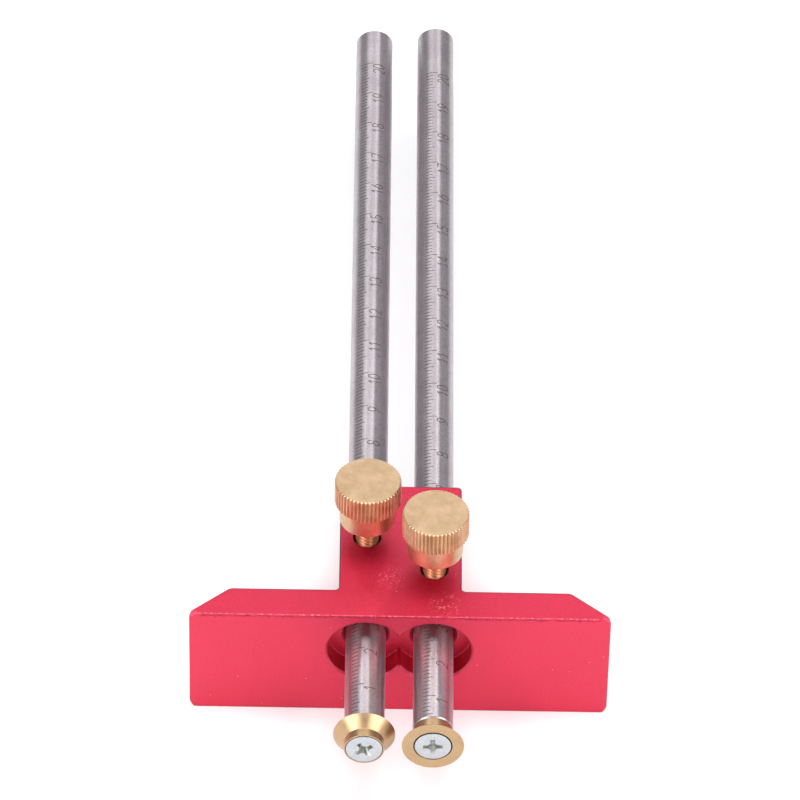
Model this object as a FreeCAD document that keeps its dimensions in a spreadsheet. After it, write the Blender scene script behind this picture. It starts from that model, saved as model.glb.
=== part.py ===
import FreeCAD, Part
import os

import Sketcher

# Marking gauge with two graduated rods. Millimetres, +Z up.
#
# The frame: X runs along the fence, Y runs back along the rods, and the origin is on the fence's
# working face (Y = 0), midway between the two rods and level with their axes. The cutting wheels
# stand in front of the fence, at negative Y. Every rod, wheel and screw is modelled on its own
# axis and put in place by its Placement.

SIZES = {
    # the head: a T-shaped aluminium block, with the fence plate as the bar of the T
    "fence_width": 83.7,
    "fence_thickness": 7.4,
    "fence_end_chamfer": 7.9,
    "head_height": 26.5,
    "head_top": 9.9,
    "boss_width": 24.5,
    "boss_rear": 37.2,
    "boss_inner_fillet": 0.9,
    "boss_outer_round": 0.9,
    "fence_top_corner_round": 1.4,
    "fence_bottom_corner_round": 2.0,
    "fence_rear_round": 2.0,
    # the rods and the holes that they slide in
    "rod_radius": 4.0,
    "rod_length": 211.3,
    "rod_spacing": 13.5,
    "rod_end_chamfer": 0.3,
    "rod_hole_radius": 4.06,
    "rod_hole_chamfer": 0.75,
    # the double round recess that takes the wheels when the rods are pulled back
    "recess_radius": 7.65,
    "recess_depth": 4.8,
    "recess_rim_chamfer": 0.4,
    "recess_neck_width": 1.3,
    "recess_neck_height": 8.4,
    # how far each cutting edge stands in front of the fence
    "left_setting": 22.9,
    "right_setting": 25.8,
    # the cutting wheels
    "wheel_radius": 6.15,
    "wheel_thickness": 4.0,
    "wheel_hub_radius": 3.95,
    "wheel_hub_length": 1.8,
    "wheel_bore_radius": 2.15,
    "flat_side_seat_radius": 3.85,
    "hub_side_seat_radius": 3.7,
    "running_gap": 0.03,
    # the countersunk screws that hold the wheels
    "wheel_screw_head_radius": 3.65,
    "wheel_screw_head_rim": 0.2,
    "wheel_screw_shank_radius": 2.0,
    "wheel_screw_length": 10.0,
    "wheel_screw_proud": 0.2,
    "wheel_screw_hole_radius": 2.05,
    "wheel_screw_hole_depth": 8.0,
    "cross_recess_width": 0.95,
    "cross_recess_span": 3.9,
    "cross_recess_depth": 1.2,
    # the thumbscrews that clamp the rods
    "thumbscrew_left_back": 22.2,
    "thumbscrew_right_back": 13.4,
    "thumbscrew_thread_radius": 2.5,
    "thumbscrew_hole_radius": 2.55,
    "thumbscrew_tip_gap": 0.03,
    "thumbscrew_tip_chamfer": 0.6,
    "thumbscrew_neck": 5.35,
    "thumbscrew_collar_radius": 5.6,
    "thumbscrew_collar_height": 4.95,
    "thumbscrew_knurl_radius": 6.65,
    "thumbscrew_knurl_height": 5.55,
    "thumbscrew_knurl_bevel": 0.3,
    "knurl_groove_depth": 0.3,
    "knurl_groove_count": 50,
}

doc = FreeCAD.newDocument("marking_gauge")
sheet = doc.addObject("Spreadsheet::Sheet", "Sizes")
for row, (alias, number) in enumerate(SIZES.items(), start=1):
    sheet.set(f"A{row}", alias)
    sheet.set(f"B{row}", str(number))
    sheet.setAlias(f"B{row}", alias)
doc.recompute()


def new_body(label):
    body = doc.addObject("PartDesign::Body", label)
    body.Label = label
    return body


def origin_feature(body, role):
    return next(feature for feature in body.Origin.OriginFeatures if feature.Role == role)


def sketch_on(body, name, role, lift=None):
    """A sketch on one of the body's own planes, lifted along its normal by an expression."""
    sketch = body.newObject("Sketcher::SketchObject", name)
    sketch.AttachmentSupport = (origin_feature(body, role), [""])
    sketch.MapMode = "FlatFace"
    if lift:
        sketch.setExpression("AttachmentOffset.Base.z", lift)
    return sketch


def bind(sketch, kind, references, expression):
    """One dimension of a sketch that follows the sheet."""
    number = float(sketch.evalExpression(expression))
    index = sketch.addConstraint(Sketcher.Constraint(kind, *references, number))
    sketch.setExpression(f"Constraints[{index}]", expression)


def polygon(sketch, corners):
    """A closed outline through corners, each a pair of expressions for its two coordinates."""
    points = [
        FreeCAD.Vector(float(sketch.evalExpression(across)), float(sketch.evalExpression(along)), 0)
        for across, along in corners
    ]
    lines = []
    for index, point in enumerate(points):
        end = points[(index + 1) % len(points)]
        lines.append(sketch.addGeometry(Part.LineSegment(point, end), False))
    for index, line in enumerate(lines):
        following = lines[(index + 1) % len(lines)]
        sketch.addConstraint(Sketcher.Constraint("Coincident", line, 2, following, 1))
    for line, (across, along) in zip(lines, corners):
        bind(sketch, "DistanceX", (-1, 1, line, 1), across)
        bind(sketch, "DistanceY", (-1, 1, line, 1), along)


def circle(sketch, across, along, radius):
    """A circle whose centre and radius are expressions."""
    centre = FreeCAD.Vector(
        float(sketch.evalExpression(across)), float(sketch.evalExpression(along)), 0
    )
    size = float(sketch.evalExpression(radius))
    ring = sketch.addGeometry(Part.Circle(centre, FreeCAD.Vector(0, 0, 1), size), False)
    bind(sketch, "DistanceX", (-1, 1, ring, 3), across)
    bind(sketch, "DistanceY", (-1, 1, ring, 3), along)
    bind(sketch, "Radius", (ring,), radius)


def mirrored(body, name, feature):
    """The feature again on the other side of the body's mid-plane, X = 0."""
    copy = body.newObject("PartDesign::Mirrored", name)
    copy.Originals = [feature]
    copy.MirrorPlane = (origin_feature(body, "YZ_Plane"), [""])
    body.Tip = copy
    doc.recompute()
    return copy


def pad(body, name, sketch, length):
    """Fill the sketch to a depth: backwards from the XZ plane, or downwards from the XY plane."""
    block = body.newObject("PartDesign::Pad", name)
    block.Profile = sketch
    block.Reversed = True
    block.setExpression("Length", length)
    doc.recompute()
    return block


def pocket(body, name, sketch, length):
    """Cut the sketch to a depth, and make sure that it took something away."""
    before = body.Shape.Volume
    cut = body.newObject("PartDesign::Pocket", name)
    cut.Profile = sketch
    cut.setExpression("Length", length)
    doc.recompute()
    if body.Shape.Volume >= before - 1e-6:
        raise RuntimeError(f"{name} cuts nothing")
    return cut


def revolution(body, sketch):
    turned = body.newObject("PartDesign::Revolution", f"{body.Label}_turned")
    turned.Profile = sketch
    turned.ReferenceAxis = (sketch, ["V_Axis"])
    turned.Angle = 360.0
    doc.recompute()
    return turned


def runs_along(edge, direction):
    line = edge.Vertexes[-1].Point - edge.Vertexes[0].Point
    return line.Length > 1e-6 and abs(line.normalize() * direction) > 0.9999


def edges_where(shape, test, along=None):
    """The names of the edges whose ends all pass the test, and that run along a direction."""
    return [
        f"Edge{index}"
        for index, edge in enumerate(shape.Edges, start=1)
        if all(test(vertex.Point) for vertex in edge.Vertexes)
        and (along is None or runs_along(edge, along))
    ]


def dress(body, kind, name, test, size, along=None):
    """A Fillet or Chamfer of the given size on every edge that passes the test."""
    base = body.Tip
    names = edges_where(base.Shape, test, along)
    if not names:
        raise RuntimeError(f"{name} finds no edge")
    dressed = body.newObject(f"PartDesign::{kind}", name)
    dressed.Base = (base, names)
    dressed.setExpression("Radius" if kind == "Fillet" else "Size", size)
    doc.recompute()
    return dressed


def close(value, target):
    return abs(value - target) < 1e-4


def build_head():
    """The fence and the boss behind it, cut from one block."""
    body = new_body("head")
    fence_side = SIZES["fence_width"] / 2
    fence_back = SIZES["fence_thickness"]
    boss_side = SIZES["boss_width"] / 2

    fence = sketch_on(body, "fence_outline", "XZ_Plane")
    bottom = "Sizes.head_top - Sizes.head_height"
    polygon(fence, [("-Sizes.fence_width / 2", bottom), ("Sizes.fence_width / 2", bottom),
                    ("Sizes.fence_width / 2", "Sizes.head_top"),
                    ("-Sizes.fence_width / 2", "Sizes.head_top")])
    pad(body, "fence_plate", fence, "Sizes.fence_thickness")
    across = FreeCAD.Vector(0, 1, 0)
    dress(body, "Fillet", "fence_top_corner_rounds",
          lambda p: close(abs(p.x), fence_side) and p.z > 0,
          "Sizes.fence_top_corner_round", along=across)
    dress(body, "Fillet", "fence_bottom_corner_rounds",
          lambda p: close(abs(p.x), fence_side) and p.z < 0,
          "Sizes.fence_bottom_corner_round", along=across)

    fence_end = sketch_on(body, "fence_end_outline", "XY_Plane", "Sizes.head_top")
    polygon(fence_end, [
        ("Sizes.fence_width / 2", "0"),
        ("Sizes.fence_width / 2", "Sizes.fence_thickness"),
        ("Sizes.fence_width / 2 - Sizes.fence_end_chamfer", "Sizes.fence_thickness"),
    ])
    end_cut = pocket(body, "fence_end_right", fence_end, "Sizes.head_height")
    mirrored(body, "fence_end_left", end_cut)

    boss = sketch_on(body, "boss_outline", "XY_Plane", "Sizes.head_top")
    polygon(boss, [("-Sizes.boss_width / 2", "0"), ("Sizes.boss_width / 2", "0"),
                   ("Sizes.boss_width / 2", "Sizes.boss_rear"),
                   ("-Sizes.boss_width / 2", "Sizes.boss_rear")])
    pad(body, "boss_block", boss, "Sizes.head_height")
    upright = FreeCAD.Vector(0, 0, 1)
    dress(body, "Fillet", "boss_inner_fillets",
          lambda p: close(abs(p.x), boss_side) and close(p.y, fence_back),
          "Sizes.boss_inner_fillet", along=upright)
    dress(body, "Fillet", "boss_outer_rounds",
          lambda p: close(abs(p.x), boss_side) and close(p.y, SIZES["boss_rear"]),
          "Sizes.boss_outer_round", along=upright)
    dress(body, "Fillet", "fence_rear_rounds",
          lambda p: close(abs(p.x), fence_side - SIZES["fence_end_chamfer"])
          and close(p.y, fence_back),
          "Sizes.fence_rear_round", along=upright)

    recess = sketch_on(body, "recess_circle", "XZ_Plane")
    circle(recess, "Sizes.rod_spacing / 2", "0", "Sizes.recess_radius")
    recess_cut = pocket(body, "recess_right", recess, "Sizes.recess_depth")
    mirrored(body, "recess_left", recess_cut)
    neck = sketch_on(body, "recess_neck_outline", "XZ_Plane")
    polygon(neck, [(f"{x} * Sizes.recess_neck_width / 2", f"{z} * Sizes.recess_neck_height / 2")
                   for x, z in ((-1, -1), (1, -1), (1, 1), (-1, 1))])
    pocket(body, "recess_neck", neck, "Sizes.recess_depth")
    recess_reach = SIZES["rod_spacing"] / 2 + SIZES["recess_radius"]
    dress(body, "Chamfer", "recess_rim",
          lambda p: close(p.y, 0) and abs(p.x) <= recess_reach + 1e-4 and abs(p.z) < 8,
          "Sizes.recess_rim_chamfer")

    hole = sketch_on(body, "rod_hole_circle", "XZ_Plane")
    circle(hole, "Sizes.rod_spacing / 2", "0", "Sizes.rod_hole_radius")
    hole_cut = pocket(body, "rod_hole_right", hole, "Sizes.boss_rear")
    mirrored(body, "rod_hole_left", hole_cut)
    hole_reach = SIZES["rod_spacing"] / 2 + SIZES["rod_hole_radius"]
    dress(body, "Chamfer", "rod_hole_mouths",
          lambda p: close(p.y, SIZES["recess_depth"]) and close(abs(p.x), hole_reach)
          and close(p.z, 0),
          "Sizes.rod_hole_chamfer")

    for side, sign in (("left", "-"), ("right", "")):
        screw_hole = sketch_on(body, f"thumbscrew_hole_{side}_circle", "XY_Plane",
                               "Sizes.head_top")
        circle(screw_hole, f"{sign}Sizes.rod_spacing / 2", f"Sizes.thumbscrew_{side}_back",
               "Sizes.thumbscrew_hole_radius")
        pocket(body, f"thumbscrew_hole_{side}", screw_hole, "Sizes.head_top")
    return body


def place(body, across, back, half_turn=False):
    """Put a body's own axis at its place over X and Y."""
    if half_turn:
        body.Placement = FreeCAD.Placement(
            FreeCAD.Vector(), FreeCAD.Rotation(FreeCAD.Vector(0, 0, 1), 180)
        )
    body.setExpression("Placement.Base.x", across)
    body.setExpression("Placement.Base.y", back)


def build_rod(side, across, front):
    """A solid round bar. Its own Y axis is its centre line, with the front end at Y = 0."""
    body = new_body(f"rod_{side}")
    half = sketch_on(body, f"rod_{side}_half", "XY_Plane")
    polygon(half, [
        ("0", "Sizes.wheel_screw_hole_depth"),
        ("Sizes.wheel_screw_hole_radius", "Sizes.wheel_screw_hole_depth"),
        ("Sizes.wheel_screw_hole_radius", "0"),
        ("Sizes.rod_radius - Sizes.rod_end_chamfer", "0"),
        ("Sizes.rod_radius", "Sizes.rod_end_chamfer"),
        ("Sizes.rod_radius", "Sizes.rod_length - Sizes.rod_end_chamfer"),
        ("Sizes.rod_radius - Sizes.rod_end_chamfer", "Sizes.rod_length"),
        ("0", "Sizes.rod_length"),
    ])
    revolution(body, half)
    place(body, across, front)
    return body


def build_wheel(side, across, flat_face, reversed_wheel):
    """A cutting wheel. Its sharp edge is the rim of the flat face, at Y = 0; the hub faces -Y."""
    body = new_body(f"cutter_wheel_{side}")
    half = sketch_on(body, f"cutter_wheel_{side}_half", "XY_Plane")
    polygon(half, [
        ("Sizes.flat_side_seat_radius", "0"),
        ("Sizes.wheel_radius", "0"),
        ("Sizes.wheel_hub_radius", "-(Sizes.wheel_thickness - Sizes.wheel_hub_length)"),
        ("Sizes.wheel_hub_radius", "-Sizes.wheel_thickness"),
        ("Sizes.hub_side_seat_radius", "-Sizes.wheel_thickness"),
        ("Sizes.wheel_bore_radius",
         "-(Sizes.wheel_thickness - Sizes.hub_side_seat_radius + Sizes.wheel_bore_radius)"),
        ("Sizes.wheel_bore_radius", "-(Sizes.flat_side_seat_radius - Sizes.wheel_bore_radius)"),
    ])
    revolution(body, half)
    place(body, across, flat_face, half_turn=reversed_wheel)
    return body


def build_wheel_screw(side, across, head_face):
    """A countersunk screw. The middle of its head's face is at Y = 0 and the shank runs to +Y."""
    body = new_body(f"wheel_screw_{side}")
    half = sketch_on(body, f"wheel_screw_{side}_half", "XY_Plane")
    cone_end = (
        "Sizes.wheel_screw_head_rim + Sizes.wheel_screw_head_radius"
        " - Sizes.wheel_screw_shank_radius"
    )
    polygon(half, [
        ("0", "0"),
        ("Sizes.wheel_screw_head_radius", "0"),
        ("Sizes.wheel_screw_head_radius", "Sizes.wheel_screw_head_rim"),
        ("Sizes.wheel_screw_shank_radius", cone_end),
        ("Sizes.wheel_screw_shank_radius", "Sizes.wheel_screw_length"),
        ("0", "Sizes.wheel_screw_length"),
    ])
    revolution(body, half)
    cross = sketch_on(body, f"wheel_screw_{side}_cross", "XZ_Plane")
    arm = "Sizes.cross_recess_span / 2"
    waist = "Sizes.cross_recess_width / 2"
    quarter = [(arm, f"-{waist}"), (arm, waist), (waist, waist), (waist, arm),
               (f"-{waist}", arm), (f"-{waist}", waist), (f"-{arm}", waist), (f"-{arm}", f"-{waist}"),
               (f"-{waist}", f"-{waist}"), (f"-{waist}", f"-{arm}"), (waist, f"-{arm}"),
               (waist, f"-{waist}")]
    polygon(cross, quarter)
    pocket(body, f"wheel_screw_{side}_recess", cross, "Sizes.cross_recess_depth")
    place(body, across, head_face)
    return body


def build_thumbscrew(side, across):
    """A brass thumbscrew. Its own Z axis is its centre line, at the height of the rods' axes."""
    body = new_body(f"thumbscrew_{side}")
    half = sketch_on(body, f"thumbscrew_{side}_half", "XZ_Plane")
    tip = "Sizes.rod_radius + Sizes.thumbscrew_tip_gap"
    collar_low = "Sizes.head_top + Sizes.thumbscrew_neck"
    knurl_low = f"{collar_low} + Sizes.thumbscrew_collar_height"
    knurl_top = f"{knurl_low} + Sizes.thumbscrew_knurl_height"
    polygon(half, [
        ("0", tip),
        ("Sizes.thumbscrew_thread_radius - Sizes.thumbscrew_tip_chamfer", tip),
        ("Sizes.thumbscrew_thread_radius", f"{tip} + Sizes.thumbscrew_tip_chamfer"),
        ("Sizes.thumbscrew_thread_radius", collar_low),
        ("Sizes.thumbscrew_collar_radius", collar_low),
        ("Sizes.thumbscrew_collar_radius", knurl_low),
        ("Sizes.thumbscrew_knurl_radius - Sizes.thumbscrew_knurl_bevel", knurl_low),
        ("Sizes.thumbscrew_knurl_radius", f"{knurl_low} + Sizes.thumbscrew_knurl_bevel"),
        ("Sizes.thumbscrew_knurl_radius", f"{knurl_top} - Sizes.thumbscrew_knurl_bevel"),
        ("Sizes.thumbscrew_knurl_radius - Sizes.thumbscrew_knurl_bevel", knurl_top),
        ("0", knurl_top),
    ])
    revolution(body, half)

    groove = sketch_on(body, f"thumbscrew_{side}_groove_outline", "XY_Plane", knurl_top)
    polygon(groove, [
        ("Sizes.thumbscrew_knurl_radius - Sizes.knurl_groove_depth", "0"),
        ("Sizes.thumbscrew_knurl_radius + Sizes.knurl_groove_depth", "-2 * Sizes.knurl_groove_depth"),
        ("Sizes.thumbscrew_knurl_radius + Sizes.knurl_groove_depth", "2 * Sizes.knurl_groove_depth"),
    ])
    groove_cut = pocket(body, f"thumbscrew_{side}_groove", groove,
                        "Sizes.thumbscrew_knurl_height")
    knurl = body.newObject("PartDesign::PolarPattern", f"thumbscrew_{side}_knurl")
    knurl.Originals = [groove_cut]
    knurl.Axis = (origin_feature(body, "Z_Axis"), [""])
    knurl.Angle = 360.0
    knurl.setExpression("Occurrences", "Sizes.knurl_groove_count")
    body.Tip = knurl
    doc.recompute()
    place(body, across, f"Sizes.thumbscrew_{side}_back")
    return body


LEFT_AXIS = "-Sizes.rod_spacing / 2"
RIGHT_AXIS = "Sizes.rod_spacing / 2"

# The left wheel has its flat side and its cutting edge against the rod's end. The right wheel is
# turned round, so its edge faces forward and its hub is against the rod's end.
bodies = [
    build_head(),
    build_rod("left", LEFT_AXIS, "-Sizes.left_setting + Sizes.running_gap"),
    build_rod("right", RIGHT_AXIS,
              "-Sizes.right_setting + Sizes.wheel_thickness + Sizes.running_gap"),
    build_wheel("left", LEFT_AXIS, "-Sizes.left_setting", reversed_wheel=False),
    build_wheel("right", RIGHT_AXIS, "-Sizes.right_setting", reversed_wheel=True),
    build_wheel_screw("left", LEFT_AXIS,
                      "-Sizes.left_setting - Sizes.wheel_thickness - Sizes.wheel_screw_proud"),
    build_wheel_screw("right", RIGHT_AXIS, "-Sizes.right_setting - Sizes.wheel_screw_proud"),
    build_thumbscrew("left", LEFT_AXIS),
    build_thumbscrew("right", RIGHT_AXIS),
]
doc.recompute()

for item in doc.Objects:
    if {"Invalid", "Error"} & set(item.State):
        raise RuntimeError(f"{item.Label} failed: {item.State}")
for body in bodies:
    if body.Shape.isNull() or not body.Shape.isValid() or len(body.Shape.Solids) != 1:
        raise RuntimeError(f"{body.Label} is not one valid solid")

os.makedirs("parts", exist_ok=True)
for body in bodies:
    body.Shape.exportStep(f"parts/{body.Label}.step")
    size = body.Shape.BoundBox
    print(f"{body.Label}: {body.Shape.Volume:.1f} mm3, X {size.XMin:.2f} to {size.XMax:.2f}, "
          f"Y {size.YMin:.2f} to {size.YMax:.2f}, Z {size.ZMin:.2f} to {size.ZMax:.2f}")
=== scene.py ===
import math
import random

import bmesh
import bpy
from mathutils import Matrix, Vector, geometry, noise


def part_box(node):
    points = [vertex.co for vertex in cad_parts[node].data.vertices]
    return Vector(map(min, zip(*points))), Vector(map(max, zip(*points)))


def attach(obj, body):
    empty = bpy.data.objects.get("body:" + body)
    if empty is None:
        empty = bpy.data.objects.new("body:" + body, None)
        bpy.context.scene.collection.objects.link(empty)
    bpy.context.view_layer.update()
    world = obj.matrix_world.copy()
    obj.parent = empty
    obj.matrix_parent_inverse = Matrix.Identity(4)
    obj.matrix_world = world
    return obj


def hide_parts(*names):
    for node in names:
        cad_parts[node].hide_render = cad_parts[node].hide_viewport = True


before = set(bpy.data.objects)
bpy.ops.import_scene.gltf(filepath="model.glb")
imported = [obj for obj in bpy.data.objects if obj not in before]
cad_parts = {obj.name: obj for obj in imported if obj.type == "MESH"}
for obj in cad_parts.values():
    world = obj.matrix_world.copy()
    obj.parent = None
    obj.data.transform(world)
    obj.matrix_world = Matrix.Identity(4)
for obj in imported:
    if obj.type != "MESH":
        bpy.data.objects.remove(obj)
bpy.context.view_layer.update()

# A marking gauge: a red anodised fence, two graduated rods with cutting wheels, and two brass
# thumbscrews. Every length below is in millimetres, and MM turns it into Blender's metres.
MM = 0.001


def node_box(node):
    """A CAD node's low and high corners, in millimetres."""
    low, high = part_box(node)
    return low / MM, high / MM


HEAD_LOW, HEAD_HIGH = node_box("head")
ROD_BOXES = {side: node_box(f"rod_{side}") for side in ("left", "right")}
WHEEL_BOXES = {side: node_box(f"cutter_wheel_{side}") for side in ("left", "right")}
SCREW_BOXES = {side: node_box(f"wheel_screw_{side}") for side in ("left", "right")}
THUMB_BOXES = {side: node_box(f"thumbscrew_{side}") for side in ("left", "right")}
ROD_X = {side: (low.x + high.x) / 2 for side, (low, high) in ROD_BOXES.items()}
RODS_APART = ROD_X["right"] - ROD_X["left"]
ROD_RADIUS = (ROD_BOXES["left"][1].x - ROD_BOXES["left"][0].x) / 2


# ---------------------------------------------------------------- mesh helpers

def arc(centre, radii, start, end, steps):
    """Points on an elliptical arc, from one angle to another, in degrees."""
    points = []
    for index in range(steps + 1):
        angle = math.radians(start + (end - start) * index / steps)
        points.append((centre[0] + radii[0] * math.cos(angle),
                       centre[1] + radii[1] * math.sin(angle)))
    return points


def rounded(corners, steps=4):
    """A line through (x, y, radius) corners, with each corner that has a radius rounded off."""
    points = []
    for index, (x, y, radius) in enumerate(corners):
        if radius == 0 or index in (0, len(corners) - 1):
            points.append((x, y))
            continue
        here = Vector((x, y))
        before = (Vector(corners[index - 1][:2]) - here).normalized()
        after = (Vector(corners[index + 1][:2]) - here).normalized()
        half = before.angle(after) / 2
        reach = radius / math.tan(half)
        centre = here + (before + after).normalized() * (radius / math.sin(half))
        first = here + before * reach - centre
        last = here + after * reach - centre
        for step in range(steps + 1):
            points.append(tuple(centre + first.slerp(last, step / steps).normalized() * radius))
    return points


def lathe(profile, columns, radius_at=None):
    """A closed turned shape about Z. The profile is (radius, height) points, from axis to axis."""
    points, rows = [], []
    for radius, height in profile:
        if radius < 1e-6:
            rows.append([len(points)])
            points.append((0.0, 0.0, height))
            continue
        rows.append(list(range(len(points), len(points) + columns)))
        for column in range(columns):
            angle = 2 * math.pi * column / columns
            here = radius_at(radius, height, angle) if radius_at else radius
            points.append((here * math.cos(angle), here * math.sin(angle), height))
    faces = []
    for lower, upper in zip(rows, rows[1:]):
        for column in range(columns):
            following = (column + 1) % columns
            if len(lower) == 1:
                faces.append((lower[0], upper[following], upper[column]))
            elif len(upper) == 1:
                faces.append((lower[column], lower[following], upper[0]))
            else:
                faces.append((lower[column], lower[following], upper[following], upper[column]))
    return points, faces


def mesh_from(name, points, faces, merge=0.0):
    """A mesh in metres, with its faces turned outwards."""
    mesh = bpy.data.meshes.new(name)
    mesh.from_pydata([Vector(point) * MM for point in points], [], faces)
    work = bmesh.new()
    work.from_mesh(mesh)
    if merge:
        bmesh.ops.remove_doubles(work, verts=work.verts, dist=merge * MM)
    bmesh.ops.recalc_face_normals(work, faces=work.faces)
    if work.calc_volume(signed=True) < 0:
        bmesh.ops.reverse_faces(work, faces=work.faces)
    work.to_mesh(mesh)
    work.free()
    return mesh


def shade(mesh, sharp_degrees):
    """Smooth shading led by the large faces, which breaks where faces turn more than an angle."""
    limit = math.cos(math.radians(sharp_degrees))
    around = [[] for _ in mesh.vertices]
    sizes = [(face.normal.copy(), face.area) for face in mesh.polygons]
    for face in mesh.polygons:
        for vertex in face.vertices:
            around[vertex].append(face.index)
    normals = []
    for face in mesh.polygons:
        own = sizes[face.index][0]
        for vertex in face.vertices:
            total = own * 1e-14
            for other in around[vertex]:
                normal, area = sizes[other]
                if normal.dot(own) >= limit:
                    total = total + normal * area
            normals.append(total.normalized())
    mesh.shade_smooth()
    mesh.normals_split_custom_set(normals)


def add_piece(name, mesh, materials, body, node, at=(0, 0, 0), turn=None):
    """Put a mesh in the scene, in place of a CAD node, riding on that node's body."""
    piece = bpy.data.objects.new(name, mesh)
    bpy.context.scene.collection.objects.link(piece)
    for material in materials:
        mesh.materials.append(material)
    rotation = (turn or Matrix.Identity(3)).to_4x4()
    piece.matrix_world = Matrix.Translation(Vector(at) * MM) @ rotation
    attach(piece, body)
    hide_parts(node)
    return piece


def cut_away(mesh, cutters):
    """The mesh with each cutter's shape taken out of it."""
    block = bpy.data.objects.new("block", mesh)
    bpy.context.scene.collection.objects.link(block)
    tools = []
    for index, cutter in enumerate(cutters):
        tool = bpy.data.objects.new(f"cutter{index}", cutter)
        bpy.context.scene.collection.objects.link(tool)
        boolean = block.modifiers.new(f"cut{index}", "BOOLEAN")
        boolean.operation = "DIFFERENCE"
        boolean.solver = "MANIFOLD"
        boolean.object = tool
        tools.append(tool)
    graph = bpy.context.evaluated_depsgraph_get()
    result = bpy.data.meshes.new_from_object(block.evaluated_get(graph))
    for item in [block, *tools]:
        bpy.data.objects.remove(item)
    result.materials.clear()
    for face in result.polygons:
        face.material_index = 0
    work = bmesh.new()
    work.from_mesh(result)
    bmesh.ops.dissolve_degenerate(work, edges=work.edges, dist=0.002 * MM)
    many_sided = [face for face in work.faces if len(face.verts) > 4]
    bmesh.ops.triangulate(work, faces=many_sided, ngon_method="BEAUTY")
    work.to_mesh(result)
    work.free()
    return result


# ---------------------------------------------------------------- materials

class Nodes:
    """A small helper that adds nodes to one material and links them."""

    def __init__(self, name):
        self.material = bpy.data.materials.new(name)
        self.material.use_nodes = True
        self.tree = self.material.node_tree
        self.shader = self.tree.nodes["Principled BSDF"]

    def add(self, kind, **settings):
        """A new node, with its properties set."""
        node = self.tree.nodes.new(kind)
        for key, value in settings.items():
            setattr(node, key, value)
        return node

    def link(self, source, target):
        self.tree.links.new(source, target)

    def set(self, **values):
        """Set values on the shader's own sockets."""
        for key, value in values.items():
            name = key.replace("_", " ").title().replace("Ior", "IOR")
            self.shader.inputs[name].default_value = value

    def place(self, scale=(1, 1, 1)):
        """The object's own coordinates, stretched."""
        coordinates = self.add("ShaderNodeTexCoord")
        mapping = self.add("ShaderNodeMapping")
        mapping.inputs["Scale"].default_value = scale
        self.link(coordinates.outputs["Object"], mapping.inputs["Vector"])
        return mapping.outputs["Vector"]

    def noise(self, vector, scale, detail=2.0, roughness=0.5):
        """A noise pattern, as a grey level."""
        texture = self.add("ShaderNodeTexNoise")
        texture.inputs["Scale"].default_value = scale
        texture.inputs["Detail"].default_value = detail
        texture.inputs["Roughness"].default_value = roughness
        self.link(vector, texture.inputs["Vector"])
        return texture.outputs["Fac"]

    def ramp(self, value, *stops):
        """A colour ramp. Each stop is a position and a grey level or a colour."""
        ramp = self.add("ShaderNodeValToRGB")
        elements = ramp.color_ramp.elements
        while len(elements) < len(stops):
            elements.new(0.5)
        for element, (position, colour) in zip(elements, stops):
            element.position = position
            level = (colour,) * 3 if isinstance(colour, (int, float)) else colour
            element.color = (*level, 1.0)
        self.link(value, ramp.inputs["Fac"])
        return ramp.outputs["Color"]

    def mix(self, factor, first, second, blend="MIX"):
        """Mix two colours. Each is a colour or another node's output."""
        mix = self.add("ShaderNodeMix", data_type="RGBA", blend_type=blend)
        for socket, value in zip((mix.inputs[0], mix.inputs[6], mix.inputs[7]),
                                 (factor, first, second)):
            if isinstance(value, bpy.types.NodeSocket):
                self.link(value, socket)
            elif isinstance(value, (int, float)):
                socket.default_value = value
            else:
                socket.default_value = (*value, 1.0)
        return mix.outputs[2]

    def bump(self, height, distance, strength):
        """A bump of a distance in millimetres."""
        bump = self.add("ShaderNodeBump")
        bump.inputs["Strength"].default_value = strength
        bump.inputs["Distance"].default_value = distance * MM
        self.link(height, bump.inputs["Height"])
        return bump.outputs["Normal"]

    def finish(self, colour, roughness=None, normal=None):
        """Join the shader to its patterns, and give back the material."""
        for name, output in (("Base Color", colour), ("Roughness", roughness),
                             ("Normal", normal)):
            if output is not None:
                self.link(output, self.shader.inputs[name])
        return self.material


# Patches of scratches on the head's top, each (middle, reach, fineness).
SCRATCH_PATCHES = (((8.8, 3.6, HEAD_HIGH.z), 3.1, 620), ((-2.0, 11.0, HEAD_HIGH.z), 2.6, 1100))


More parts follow.
